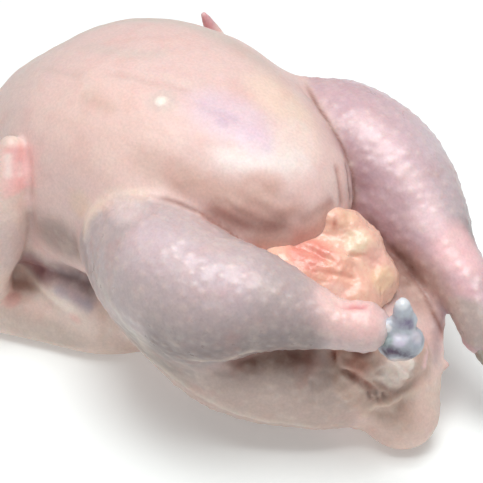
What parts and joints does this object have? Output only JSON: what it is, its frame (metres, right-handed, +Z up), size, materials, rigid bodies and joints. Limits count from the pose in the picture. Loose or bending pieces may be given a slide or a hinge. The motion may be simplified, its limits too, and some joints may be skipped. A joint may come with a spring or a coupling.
{
  "type": "whole chicken",
  "caption": "Raw whole chicken, plucked and ready for the oven, lying on its back with legs drawn up and wings folded.",
  "frame": {"origin": "middle of the bounding box's underside, on the surface that the bird lies on", "axes": "+Z up through the breast, +X from the neck to the tail, -Y to the bird's right leg"},
  "size_m": [0.2428, 0.1606, 0.1222],
  "materials": {
    "skin": "moist raw skin, pale pinkish cream, semi-gloss",
    "fat": "moist raw fat, pale yellow to salmon, glossy",
    "cartilage": "wet cartilage, bluish grey white, glossy"
  },
  "bodies": {
    "root": {"carcass": "skin", "belly_fat": "fat", "hock_cartilage_right": "cartilage", "hock_cartilage_left": "cartilage"}
  },
  "joints": []
}
